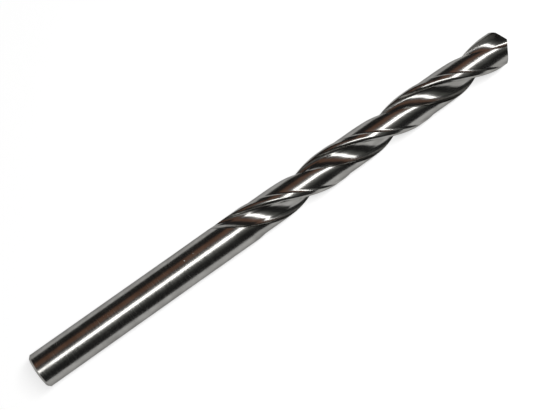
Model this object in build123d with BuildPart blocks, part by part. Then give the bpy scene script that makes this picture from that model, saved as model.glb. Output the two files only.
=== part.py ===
from build123d import *
from math import atan2, ceil, cos, degrees, hypot, radians, sin, sqrt, tan
import os

os.makedirs("parts", exist_ok=True)

# A jobber-length twist drill with a straight shank, ground from one bar of high-speed steel.
# It lies along X with its point at +X. The origin is on the ground, under the middle of it.

# Driving dimensions, in millimetres and degrees
drill_diameter = 7.0  # over the margins
shank_diameter = 6.95  # ground a little under the size of the drill
overall_length = 109.0  # from the chisel edge to the end of the shank
flute_length = 69.0  # from the chisel edge to where the flutes have run out
full_stretch = 0.5  # plain bar of the drill's own size, behind the flutes
shank_rise = 1.5  # slope between that and the shank
flute_lead = 40.1  # advance of a flute in one turn, right-handed
web_thickness = 1.0  # core between the flutes at the point
web_taper = 0.008  # rise of a flute's floor for each millimetre behind the point
gullet_radius = 1.2  # round bottom of a flute
land_arc = 90.0  # a land with its margin, measured round the drill
margin_arc = 13.5  # raised strip along the leading edge of a land
edge_arc = 14.0  # rounded-over strip between a margin and the flute ahead of it
edge_slope = 12.0  # fall of that strip where it leaves the margin
edge_depth = 0.25  # fall of that strip where it meets the rake face
body_clearance = 0.19  # drop from the margin to the rest of the land
runout_length = 9.0  # stretch over which a flute rises to the surface
point_angle = 118.0  # between the two lips
cone_setback = 4.0  # axis of a flank's grinding cone, past the centre from its lip
cone_lead = 2.2  # the same axis, ahead of the lip, so that the flank falls away behind it
shank_chamfer = 0.4
cutter_overhang = 0.8  # how far the cutters reach outside the bar
roll = 32.3  # turn of the whole drill about its axis

# Worked out from them
radius = drill_diameter / 2
shank_radius = shank_diameter / 2
half_web = web_thickness / 2
twist = 360 / flute_lead
point_x = overall_length / 2
full_x = point_x - flute_length - full_stretch
shank_x = full_x - shank_rise
runout_x = point_x - flute_length + runout_length
runout_depth = radius - half_web - web_taper * flute_length
halves = (0, 180)  # the drill is the same turned half way round

# A lip is straight, half a web ahead of the centre, from the chisel edge out to the corner
lip_reach = sqrt(radius**2 - half_web**2)
lip_slope = 1 / tan(radians(point_angle / 2))

# The cone that grinds a flank is parallel to the drill, and as steep as its lip needs
inner_run = hypot(cone_setback, cone_lead)
outer_run = hypot(cone_setback + lip_reach, cone_lead)
centre_run = hypot(cone_setback, cone_lead + half_web)
cone_slope = lip_reach * lip_slope / (outer_run - inner_run)
lips_x = point_x + (centre_run - inner_run) * cone_slope


def across(x, half=0):
    # Plane across the drill, turned with the helix so that its X axis keeps along a lip
    angle = radians(roll + twist * (x - lips_x) + half)
    return Plane(origin=(x, 0, radius), x_dir=(0, cos(angle), sin(angle)), z_dir=(1, 0, 0))


def polar(reach, angle):
    return (reach * cos(radians(angle)), reach * sin(radians(angle)))


def rake_point(along_lip):
    # A point of the lip, screwed along the helix into the plane that the lips start from
    angle = degrees(atan2(half_web, along_lip)) + twist * along_lip * lip_slope
    return polar(hypot(along_lip, half_web), angle)


def web_rise(x):
    return web_taper * (point_x - x)


def runout_rise(x):
    # Where a cutter leaves the bar, on a curve close to the rim of a grinding wheel
    return runout_depth * (max(runout_x - x, 0) / runout_length) ** 2


# Where the rake face ends, and the margin and the heel meet the surface
corner_reach = sqrt((radius - edge_depth) ** 2 - half_web**2)
corner = Vector(rake_point(corner_reach))
edge_angle = degrees(atan2(corner.Y, corner.X)) - edge_arc
step_angle = edge_angle - margin_arc
heel_angle = edge_angle + 180 - land_arc
flute_angle = (edge_angle + heel_angle) / 2
edge = Vector(polar(radius, edge_angle))
heel = Vector(polar(radius, heel_angle))
out_of_edge = Vector(polar(1, edge_angle - 90 + edge_slope))


def flute_section(lift):
    # A flute, cut across, with its floor raised by lift: the rake face that makes the lip
    # straight, the round bottom on the web, the back that comes up to the heel, and the strip
    # that dips below the surface where the margin ends and rolls over to the rake face
    with BuildSketch() as section:
        with BuildLine():
            rake = ThreePointArc(
                Vector(rake_point(0)) + Vector(0, lift),
                Vector(rake_point(corner_reach / 2)) + Vector(0, lift / 2),
                corner,
            )
            strip = Line(edge + out_of_edge * 2 * cutter_overhang, edge - out_of_edge * edge_depth / 2)
            TangentArc(strip @ 1, rake @ 1, tangent=strip % 1)
            bottom = JernArc(rake @ 0, (-1, 0), gullet_radius, -90)
            back = TangentArc(bottom @ 1, heel, tangent=bottom % 1)
            beyond = Line(back @ 1, back @ 1 + back % 1 * cutter_overhang)
            Polyline(beyond @ 1, (drill_diameter, (beyond @ 1).Y), strip @ 0)
        make_face()
    return section.sketch


# What is ground off a land behind its margin, cut across, from the margin to past the heel
clearance_arc = land_arc
clearance_start = step_angle - clearance_arc
with BuildSketch() as clearance_section:
    with BuildLine():
        floor = CenterArc((0, 0), radius - body_clearance, clearance_start, clearance_arc)
        outside = CenterArc((0, 0), radius + cutter_overhang, clearance_start, clearance_arc)
        Line(floor @ 0, outside @ 0)
        Line(floor @ 1, outside @ 1)
    make_face()

# What is ground off the point behind one lip: all that stands out of the flank's cone
point_depth = drill_diameter * lip_slope
cone_height = inner_run * cone_slope + point_depth
with BuildPart(Plane.XY.offset(-point_depth)) as flank_waste:
    Cylinder(
        radius + cutter_overhang,
        point_depth + cutter_overhang,
        align=(Align.CENTER, Align.CENTER, Align.MIN),
    )
    with Locations((-cone_setback, half_web + cone_lead)):
        Cone(
            cone_height / cone_slope,
            0,
            cone_height,
            align=(Align.CENTER, Align.CENTER, Align.MIN),
            mode=Mode.SUBTRACT,
        )

# Stations along the bar, from past the point to where the cutters are clear of it
stations_per_turn = 14
station_step = flute_lead / stations_per_turn
station_count = ceil((flute_length + 2 * cutter_overhang) / station_step) + 2
stations = [point_x + cutter_overhang - station_step * index for index in range(station_count)]
flute_sections = [flute_section(web_rise(x)) for x in stations]

with BuildPart() as drill:
    # The bar, ground down for the shank
    with BuildSketch(across(-point_x)):
        Circle(shank_radius)
    extrude(amount=shank_x + point_x)
    chamfer(drill.faces().sort_by(Axis.X)[0].edges(), shank_chamfer)
    with Locations(across(shank_x)):
        Cone(shank_radius, radius, shank_rise, align=(Align.CENTER, Align.CENTER, Align.MIN))
    with BuildSketch(across(full_x)):
        Circle(radius)
    extrude(amount=point_x - full_x)

    # Body clearance, which starts where the flutes are near full depth
    for half in halves:
        for x in stations:
            with BuildSketch(across(x, half)):
                with Locations(polar(runout_rise(x), (clearance_start + step_angle) / 2)):
                    add(clearance_section.sketch)
        loft(mode=Mode.SUBTRACT)

    # Flutes
    for half in halves:
        for x, section in zip(stations, flute_sections):
            with BuildSketch(across(x, half)):
                with Locations(polar(runout_rise(x), flute_angle)):
                    add(section)
        loft(mode=Mode.SUBTRACT)

    # Ground point
    for half in halves:
        with Locations(across(lips_x, half)):
            add(flank_waste.part, mode=Mode.SUBTRACT)

drill.part.label = "twist_drill"
export_step(drill.part, "parts/twist_drill.step")
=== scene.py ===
from math import asin, atan2, cos, degrees, hypot, pi, radians, sin, sqrt, tan

import bpy
from mathutils import Matrix, Vector


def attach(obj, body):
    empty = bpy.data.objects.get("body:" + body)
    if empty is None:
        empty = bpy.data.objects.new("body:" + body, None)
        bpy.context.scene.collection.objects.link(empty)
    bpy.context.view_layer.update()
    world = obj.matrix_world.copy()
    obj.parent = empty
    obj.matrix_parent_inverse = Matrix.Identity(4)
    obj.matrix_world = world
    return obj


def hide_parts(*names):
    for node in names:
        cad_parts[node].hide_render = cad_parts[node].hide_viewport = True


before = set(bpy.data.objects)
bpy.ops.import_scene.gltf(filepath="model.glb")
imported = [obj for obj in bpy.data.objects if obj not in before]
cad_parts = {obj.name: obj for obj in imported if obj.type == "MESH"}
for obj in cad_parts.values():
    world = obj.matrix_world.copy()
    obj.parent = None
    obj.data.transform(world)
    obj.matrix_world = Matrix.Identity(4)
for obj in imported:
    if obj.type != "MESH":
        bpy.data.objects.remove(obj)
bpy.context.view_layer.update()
bpy.ops.object.select_all(action="DESELECT")

# Sizes are in millimetres, and this turns them into metres
mm = 0.001

# ---------------------------------------------------------------- the drill
# A twist drill ground from one bar of bright high-speed steel. It is a grid of points: one
# row is the outline of a cut across it, and the rows turn along the bar by the lead of the
# flutes. Two wide cones then grind the point.
radius = 3.5
shank_radius = 3.475
point_x = 54.5
shank_x = -23.0
full_x = -15.0
chamfer = 0.4
web = 0.5
web_taper = 0.008
clearance = 0.19
heel_relief = 0.08
heel_relief_arc = 22.0
runout_x = -5.5
runout_length = 9.0
runout_depth = 2.05
lead = 40.1
twist = 360 / lead
roll = 33.343

# The cones that grind the flanks stand beside the drill, and lips_x is where the lips would start
lip_slope = 1 / tan(radians(59))
grind_side, grind_above = 4.0, 4.3
inner_run = hypot(grind_side, grind_above)
centre_run = hypot(grind_side, grind_above + web)
lip_reach = sqrt(radius**2 - web**2)
cone_slope = lip_reach * lip_slope / (hypot(grind_side + lip_reach, grind_above) - inner_run)
lips_x = point_x + (centre_run - inner_run) * cone_slope


def polar(reach, angle):
    return Vector((reach * cos(radians(angle)), reach * sin(radians(angle))))


def tangent_arc(start, heading, end, steps):
    # Points of the arc that leaves start along heading and reaches end, without its first point
    chord = end - start
    side = Vector((-heading.y, heading.x))
    arc_radius = chord.length_squared / (2 * chord.dot(side))
    centre = start + side * arc_radius
    turn = 2 * asin(chord.length / 2 / arc_radius)
    points = []
    for step in range(1, steps + 1):
        spoke = start - centre
        spoke.rotate(Matrix.Rotation(turn * step / steps, 2))
        points.append(centre + spoke)
    return points


def bend(start, leaving, arriving, end, steps):
    # Points of a smooth curve with these handles, without its first point
    points = []
    for step in range(1, steps + 1):
        share = step / steps
        rest = 1 - share
        first_half = start * rest**3 + leaving * 3 * rest**2 * share
        points.append(first_half + arriving * 3 * rest * share**2 + end * share**3)
    return points


# Places round a cut of the first half; the second half is the first turned half way round
edge_angle = 12.17
edge_hook = 12.0
margin_arc, flute_arc, land_middle = 13.5, 90.0, 135.0
corner_drop, corner_angle = 0.333, 23.35
ramp_angle = 9.0
floor_angle = 64.0
step_angle = edge_angle - margin_arc
heel_angle = edge_angle + flute_arc
flute_angle = (edge_angle + heel_angle) / 2
clearance_angle = step_angle + land_middle
edge = polar(radius, edge_angle)
out_of_edge = polar(1, edge_angle - 90 + edge_hook)
corner = polar(radius - corner_drop, corner_angle)
heel = polar(radius - clearance, heel_angle)
past_heel = heel + polar(0.4, 81.6)
up_from_floor = polar(1, floor_angle)
along_floor = polar(1, floor_angle - 90)
strip_steps, rake_steps, back_steps = 8, 26, 26
land_steps, ramp_steps, margin_steps = 36, 8, 12
flute_steps = rake_steps + back_steps


def rise(x):
    # How far the cutter has lifted out of the bar at x
    return runout_depth * (max(runout_x - x, 0) / runout_length) ** 2


def rake_point(along_lip):
    # A point of the straight lip, screwed along the helix to where the lips would start
    angle = degrees(atan2(web, along_lip)) + twist * along_lip * lip_slope
    return polar(hypot(along_lip, web), angle)


def flute_at_point():
    # The cut of a flute at the point: its rake face makes the lip straight
    lip_outer, lip_inner = 3.2, 0.6
    strip_depth = 0.125
    floor_pull, back_pull = polar(1.0, 6.6), polar(1.5, 64.0)
    outer, inner = rake_point(lip_outer), rake_point(lip_inner)
    points = [edge]
    points += tangent_arc(edge - out_of_edge * strip_depth, -out_of_edge, outer, strip_steps)
    for step in range(1, rake_steps + 1):
        points.append(rake_point(lip_outer + (lip_inner - lip_outer) * step / rake_steps))
    points += bend(inner, inner - floor_pull, heel - back_pull, heel, back_steps)
    points.append(past_heel)
    return points


def flute_behind():
    # The cut of a flute further back: a hooked rake face, a wide flat floor and a steep back
    floor_height, floor_offset = 0.95, 0.2
    strip_depth = 0.05
    rake_pull, back_pull = polar(1.0, 58.0), polar(1.1, 68.0)
    bottom = up_from_floor * floor_height + along_floor * floor_offset
    rake_side, back_side = bottom + along_floor * 1.2, bottom - along_floor * 1.4
    points = [edge]
    points += tangent_arc(edge - out_of_edge * strip_depth, -out_of_edge, corner, strip_steps)
    points += bend(corner, corner - rake_pull, rake_side, bottom, rake_steps)
    points += bend(bottom, back_side, heel - back_pull, heel, back_steps)
    points.append(past_heel)
    return points


at_point = flute_at_point()
behind = flute_behind()


def flute_curve(x):
    # The cut of a flute at x: its floor rises behind the point, and the run-out moves it out
    change_x, change_length = point_x - 1.5, 8
    lifted_width = 1.5
    share = min(max((change_x - x) / change_length, 0), 1)
    share = share * share * (3 - 2 * share)
    lift = up_from_floor * web_taper * (point_x - x)
    shift = polar(rise(x), flute_angle)
    points = []
    for index, (first, second) in enumerate(zip(at_point, behind)):
        near_floor = 1 - abs(index - strip_steps - rake_steps) / back_steps
        lifted = lift * max(0, min(1, lifted_width * near_floor))
        points.append(first.lerp(second, share) + lifted + shift)
    return points


def land_radius(x, angle):
    # Ground lower than the margin, sinking a little to the heel and ramping up to the margin
    off_centre = radians(angle - clearance_angle)
    low = radius - clearance
    out = rise(x)
    floor = out * cos(off_centre) + sqrt(low**2 - (out * sin(off_centre)) ** 2)
    heel_share = max(0, 1 - (angle - heel_angle) / heel_relief_arc)
    floor -= heel_relief * heel_share**2 * max(0, 1 - out / clearance)
    ramp = max(0, (angle - step_angle - 180 + ramp_angle) / ramp_angle)
    return min(radius, floor + (radius - floor) * ramp**2)


def cross(points, start, step, limit):
    # Walks along the points until they leave the bar, and gives the place as a fraction index
    index = start
    while 0 <= index + step < len(points):
        here, there = points[index], points[index + step]
        gap_here = here.length - limit(here)
        gap_there = there.length - limit(there)
        if gap_there >= 0:
            return index + step * gap_here / (gap_here - gap_there)
        index += step
    return float(index)


def pick(points, place):
    index = min(int(place), len(points) - 2)
    return points[index].lerp(points[index + 1], place - index)


def angle_of(point, near):
    return near + (degrees(atan2(point.y, point.x)) - near + 180) % 360 - 180


def half_outline(x):
    # Half of a cut at x: the strip by the edge, the flute, the land, its ramp and the margin
    points = flute_curve(x)
    deepest = min(range(len(points)), key=lambda index: points[index].length)
    first = cross(points, deepest, -1, lambda point: radius)
    last = cross(points, deepest, 1, lambda point: land_radius(x, angle_of(point, heel_angle)))
    turn = max(first, strip_steps)
    places = [first + (turn - first) * step / strip_steps for step in range(strip_steps)]
    places += [turn + (last - turn) * step / flute_steps for step in range(flute_steps)]
    outline = [pick(points, place) for place in places]
    land_at = angle_of(pick(points, last), heel_angle)
    ramp_at = step_angle + 180 - ramp_angle
    for step in range(land_steps):
        angle = land_at + (ramp_at - land_at) * step / land_steps
        outline.append(polar(land_radius(x, angle), angle))
    for step in range(ramp_steps):
        angle = ramp_at + ramp_angle * step / ramp_steps
        outline.append(polar(land_radius(x, angle), angle))
    start = angle_of(pick(points, first), edge_angle) + 180
    for step in range(margin_steps):
        angle = step_angle + 180 + (start - step_angle - 180) * step / margin_steps
        outline.append(polar(radius, angle))
    return outline


def deepest_cut(x):
    return min(point.length for point in flute_curve(x)) - radius


# The toe is where the flutes start on the bar
toe_x, inside_x = runout_x - runout_length - 2, runout_x - runout_length + 3
for _ in range(40):
    middle = (toe_x + inside_x) / 2
    if deepest_cut(middle) < 0:
        inside_x = middle
    else:
        toe_x = middle

toe_outline = half_outline(toe_x + 0.001)
rows = []


def add_row(x, outline, turned_at):
    turn = radians(roll + twist * (turned_at - lips_x))
    row = []
    for half in (0, pi):
        for point in outline:
            reach, angle = point.length, atan2(point.y, point.x) + turn + half
            row.append((x * mm, reach * cos(angle) * mm, (radius + reach * sin(angle)) * mm))
    rows.append(row)


def plain_outline(reach):
    # A round cut with its points at the same angles as where the flutes start
    return [point.normalized() * reach for point in toe_outline]


shank_end = -point_x
plain = [
    (shank_end, 0.0001),
    (shank_end, 0.9),
    (shank_end, 2.0),
    (shank_end, shank_radius - chamfer),
    (shank_end + chamfer * 0.5, shank_radius - chamfer * 0.5),
    (shank_end + chamfer, shank_radius),
]
shank_rows, slope_rows = 25, 8
for step in range(1, shank_rows + 1):
    x = shank_end + chamfer + (shank_x + point_x - chamfer) * step / shank_rows
    plain.append((x, shank_radius))
for step in range(1, slope_rows + 1):
    share = step / slope_rows
    reach = shank_radius + (radius - shank_radius) * share**2 * (3 - 2 * share)
    plain.append((shank_x + (full_x - shank_x) * share, reach))
for x, reach in plain:
    add_row(x, plain_outline(reach), toe_x)

# Rows lie close together at the toe and in the run-out, and run on past the point
toe_rows, toe_length = 24, 2.4
runout_spacing, flute_spacing = 0.15, 0.33
spacing = [toe_x + toe_length * (step / toe_rows) ** 2 for step in range(1, toe_rows + 1)]
while spacing[-1] < runout_x + 0.5:
    spacing.append(spacing[-1] + runout_spacing)
while spacing[-1] < point_x + 1.2:
    spacing.append(spacing[-1] + flute_spacing)
for x in spacing:
    add_row(x, half_outline(x), x)


def grid_piece(name, grid, front_closed):
    # A tube of quads through the rows, closed at the back and, if asked, at the front
    width = len(grid[0])
    faces = []
    for row in range(len(grid) - 1):
        for column in range(width):
            here = row * width + column
            beside = row * width + (column + 1) % width
            faces.append((here, beside, beside + width, here + width))
    faces.append(tuple(reversed(range(width))))
    if front_closed:
        faces.append(tuple((len(grid) - 1) * width + column for column in range(width)))
    mesh = bpy.data.meshes.new(name)
    mesh.from_pydata([point for row in grid for point in row], [], faces)
    piece = bpy.data.objects.new(name, mesh)
    bpy.context.collection.objects.link(piece)
    return piece


# Only a short end of the drill is ground, because the cones cut it slowly
ground_length = 5
joint_row = min(
    index for index, row in enumerate(rows) if row[0][0] > (point_x - ground_length) * mm
)
joint_x = rows[joint_row][0][0]
drill = grid_piece("drill", rows[: joint_row + 1], False)
point = grid_piece("point", rows[joint_row:], True)

cone_depth = 20
cone_x = lips_x + cone_slope * inner_run - cone_depth / 2
cone_angle = degrees(atan2(grind_above + web, -grind_side))
for half in (0, 180):
    axis = polar(centre_run, cone_angle + roll + half)
    bpy.ops.mesh.primitive_cone_add(
        vertices=360,
        radius1=cone_depth / cone_slope * mm,
        radius2=0,
        depth=cone_depth * mm,
        location=(cone_x * mm, axis.x * mm, (axis.y + radius) * mm),
        rotation=(0, pi / 2, 0),
    )
    cone = bpy.context.active_object
    grind = point.modifiers.new("flank", "BOOLEAN")
    grind.operation = "INTERSECT"
    grind.solver = "EXACT"
    grind.object = cone
    bpy.context.view_layer.objects.active = point
    bpy.ops.object.modifier_apply(modifier=grind.name)
    bpy.data.objects.remove(cone)

# The closed back of the point goes, so that it joins the rest without a wall between them
bpy.ops.object.select_all(action="DESELECT")
bpy.context.view_layer.objects.active = point
vertices = point.data.vertices
for face in point.data.polygons:
    face.select = all(abs(vertices[index].co.x - joint_x) < 0.000001 for index in face.vertices)
for line in point.data.edges:
    line.select = False
for vertex in vertices:
    vertex.select = False
bpy.ops.object.mode_set(mode="EDIT")
bpy.context.tool_settings.mesh_select_mode = (False, False, True)
bpy.ops.mesh.delete(type="ONLY_FACE")
bpy.ops.object.mode_set(mode="OBJECT")

point.select_set(True)
drill.select_set(True)
bpy.context.view_layer.objects.active = drill
bpy.ops.object.join()
bpy.ops.object.mode_set(mode="EDIT")
bpy.context.tool_settings.mesh_select_mode = (True, False, False)
bpy.ops.mesh.select_all(action="SELECT")
bpy.ops.mesh.remove_doubles(threshold=0.000002)
bpy.ops.mesh.dissolve_degenerate(threshold=0.000001)
bpy.ops.mesh.normals_make_consistent(inside=False)
bpy.ops.object.mode_set(mode="OBJECT")

bpy.ops.object.select_all(action="DESELECT")
drill.select_set(True)
bpy.context.view_layer.objects.active = drill
bpy.ops.object.shade_smooth_by_angle(angle=radians(28))

steel = bpy.data.materials.new("high_speed_steel")
steel.use_nodes = True
nodes, links = steel.node_tree.nodes, steel.node_tree.links
principled = nodes["Principled BSDF"]
principled.inputs["Metallic"].default_value = 1
principled.inputs["Specular Tint"].default_value = (0.4, 0.4, 0.4, 1)


def feed(socket, value):
    # Sets a number on the socket, or links to it what isn't one
    if isinstance(value, (int, float)):
        socket.default_value = value
    else:
        links.new(value, socket)


def maths_node(operation, first, second=0):
    node = nodes.new("ShaderNodeMath")
    node.operation = operation
    for socket, value in zip(node.inputs, (first, second)):
        feed(socket, value)
    return node.outputs[0]


def range_node(value, low, high, new_low, new_high):
    node = nodes.new("ShaderNodeMapRange")
    values = (value, low, high, new_low, new_high)
    for name, number in zip(("Value", "From Min", "From Max", "To Min", "To Max"), values):
        feed(node.inputs[name], number)
    return node.outputs["Result"]


def noise_node(x, y, z, scale, detail):
    at = nodes.new("ShaderNodeCombineXYZ")
    for socket, value in zip(at.inputs, (x, y, z)):
        feed(socket, value)
    node = nodes.new("ShaderNodeTexNoise")
    node.inputs["Scale"].default_value = scale
    node.inputs["Detail"].default_value = detail
    links.new(at.outputs["Vector"], node.inputs["Vector"])
    return node.outputs["Fac"]


place = nodes.new("ShaderNodeTexCoord")
apart = nodes.new("ShaderNodeSeparateXYZ")
links.new(place.outputs["Object"], apart.inputs["Vector"])
along, across = apart.outputs["X"], apart.outputs["Y"]
height = maths_node("SUBTRACT", apart.outputs["Z"], radius * mm)
around = maths_node("ARCTAN2", height, across)
screw = maths_node("SUBTRACT", around, maths_node("MULTIPLY", along, radians(twist) / mm))
screw_sine = maths_node("SINE", screw)
squares = maths_node("ADD", maths_node("POWER", across, 2), maths_node("POWER", height, 2))
off_axis = maths_node("SQRT", squares)

# Grinding marks: rings round the shank, and lines along the helix on the lands and in the flutes
rings = noise_node(
    maths_node("MULTIPLY", along, 1800),
    maths_node("SINE", around),
    maths_node("COSINE", around),
    scale=2,
    detail=4,
)
lines = noise_node(
    screw_sine,
    maths_node("COSINE", screw),
    maths_node("MULTIPLY", along, 12),
    scale=22,
    detail=4,
)
depths = noise_node(
    maths_node("MULTIPLY", off_axis, 2500),
    screw_sine,
    maths_node("MULTIPLY", along, 25),
    scale=2.5,
    detail=3,
)
rings_end, lines_start = -0.0165, -0.013
fluted = range_node(along, rings_end, lines_start, 0, 1)
marks = nodes.new("ShaderNodeMix")
links.new(fluted, marks.inputs["Factor"])
links.new(rings, marks.inputs["A"])
links.new(maths_node("MULTIPLY", maths_node("ADD", lines, depths), 0.5), marks.inputs["B"])
bump = nodes.new("ShaderNodeBump")
bump.inputs["Strength"].default_value = 0.08
bump.inputs["Distance"].default_value = 0.00002
links.new(marks.outputs["Result"], bump.inputs["Height"])
links.new(bump.outputs["Normal"], principled.inputs["Normal"])
polish = range_node(marks.outputs["Result"], 0.35, 0.7, 0.2, 0.28)
links.new(polish, principled.inputs["Roughness"])

# Clouds of brighter and duller steel, and a few pale specks
clouds = noise_node(along, across, height, scale=420, detail=3)
tone = nodes.new("ShaderNodeValToRGB")
dull, bright = tone.color_ramp.elements
dull.position, dull.color = 0.3, (0.255, 0.25, 0.238, 1)
bright.position, bright.color = 0.7, (0.35, 0.345, 0.33, 1)
links.new(clouds, tone.inputs["Fac"])
cells = nodes.new("ShaderNodeTexVoronoi")
cells.inputs["Scale"].default_value = 420
links.new(place.outputs["Object"], cells.inputs["Vector"])
chosen = nodes.new("ShaderNodeSeparateColor")
links.new(cells.outputs["Color"], chosen.inputs["Color"])
speck_rim, speck_core, bare_share = 0.06, 0.04, 0.8
speck = maths_node(
    "MULTIPLY",
    range_node(cells.outputs["Distance"], speck_rim, speck_core, 0, 1),
    maths_node("GREATER_THAN", chosen.outputs["Red"], bare_share),
)
speckled = nodes.new("ShaderNodeMix")
speckled.data_type = "RGBA"
speckled.inputs["B"].default_value = (0.75, 0.74, 0.7, 1)
links.new(speck, speckled.inputs["Factor"])
links.new(tone.outputs["Color"], speckled.inputs["A"])
links.new(speckled.outputs["Result"], principled.inputs["Base Color"])
links.new(maths_node("SUBTRACT", 1, speck), principled.inputs["Metallic"])
drill.data.materials.clear()
drill.data.materials.append(steel)
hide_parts("twist_drill")
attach(drill, "root")

# ---------------------------------------------------------------- the table
# A plain white sheet under the drill. It glows where it is seen or mirrored, so that only the
# drill's shadow shows on it.
bpy.ops.mesh.primitive_plane_add(size=3, location=(0, 0, -0.00002))
table = bpy.context.active_object
table.name = "table"
white = bpy.data.materials.new("white_sheet")
white.use_nodes = True
nodes, links = white.node_tree.nodes, white.node_tree.links
paper = nodes["Principled BSDF"]
paper.inputs["Base Color"].default_value = (0.8, 0.8, 0.8, 1)
paper.inputs["Roughness"].default_value = 1
paper.inputs["Specular IOR Level"].default_value = 0
paper.inputs["Emission Color"].default_value = (1, 1, 1, 1)
sheet_glow = 0.62
rays = nodes.new("ShaderNodeLightPath").outputs
seen = maths_node("MAXIMUM", rays["Is Camera Ray"], rays["Is Glossy Ray"])
seen_through = maths_node("MAXIMUM", seen, rays["Is Transmission Ray"])
links.new(maths_node("MULTIPLY", seen_through, sheet_glow), paper.inputs["Emission Strength"])
table.data.materials.append(white)

# ---------------------------------------------------------------- the lights
# A long soft lamp above, a little askew to the drill, with a dim brown card on the far side and
# a dim grey one on the near side. The cards show only in the steel.
bpy.ops.object.light_add(type="AREA", location=(0.089, -0.026, 0.40))
lamp = bpy.context.active_object
lamp.data.shape = "RECTANGLE"
lamp.data.size = 0.446
lamp.data.size_y = 0.098
lamp.data.energy = 1.0
lamp.rotation_euler = (0, 0, radians(14.6))


def hang_card(name, paint, colour, location, lean, depth):
    # A glowing card that faces the drill; neither the camera nor the table sees it
    bpy.ops.mesh.primitive_plane_add(size=1, location=location, rotation=(radians(lean), 0, 0))
    card = bpy.context.active_object
    card.name = name
    card.scale = (0.9, depth, 1)
    material = bpy.data.materials.new(paint)
    material.use_nodes = True
    board = material.node_tree.nodes["Principled BSDF"]
    board.inputs["Base Color"].default_value = (0, 0, 0, 1)
    board.inputs["Specular IOR Level"].default_value = 0
    board.inputs["Emission Color"].default_value = colour
    board.inputs["Emission Strength"].default_value = 1.0
    card.data.materials.append(material)
    card.visible_camera = False
    card.visible_diffuse = False
    card.visible_shadow = False


hang_card("card", "brown_card", (0.24, 0.125, 0.08, 1), (0.05, 0.215, 0.342), -35, 0.19)
hang_card("wall", "grey_card", (0.125, 0.13, 0.12, 1), (0.05, -0.20, 0.36), 29, 0.17)

world = bpy.data.worlds.new("room")
bpy.context.scene.world = world
world.use_nodes = True
room = world.node_tree.nodes["Background"]
room.inputs["Color"].default_value = (1, 1, 1, 1)
room.inputs["Strength"].default_value = 0.03

# ---------------------------------------------------------------- the camera
# Above and a little to the left of the drill, turned so that the drill lies across the frame.
# The three directions are the frame's right, its down and the line of sight.
right = Vector((0.8105596, -0.58554127, 0.01159962))
down = Vector((-0.57185407, -0.79557657, -0.20010206))
forward = Vector((0.1263964, 0.15556135, -0.97970639))
bpy.ops.object.camera_add(location=(-0.02587, -0.03003, 0.19292))
camera = bpy.context.active_object
camera.rotation_euler = Matrix((right, -down, -forward)).transposed().to_euler()
camera.data.lens = 67.1
camera.data.clip_start = 0.01
bpy.context.scene.camera = camera

bpy.context.scene.view_settings.view_transform = "Standard"
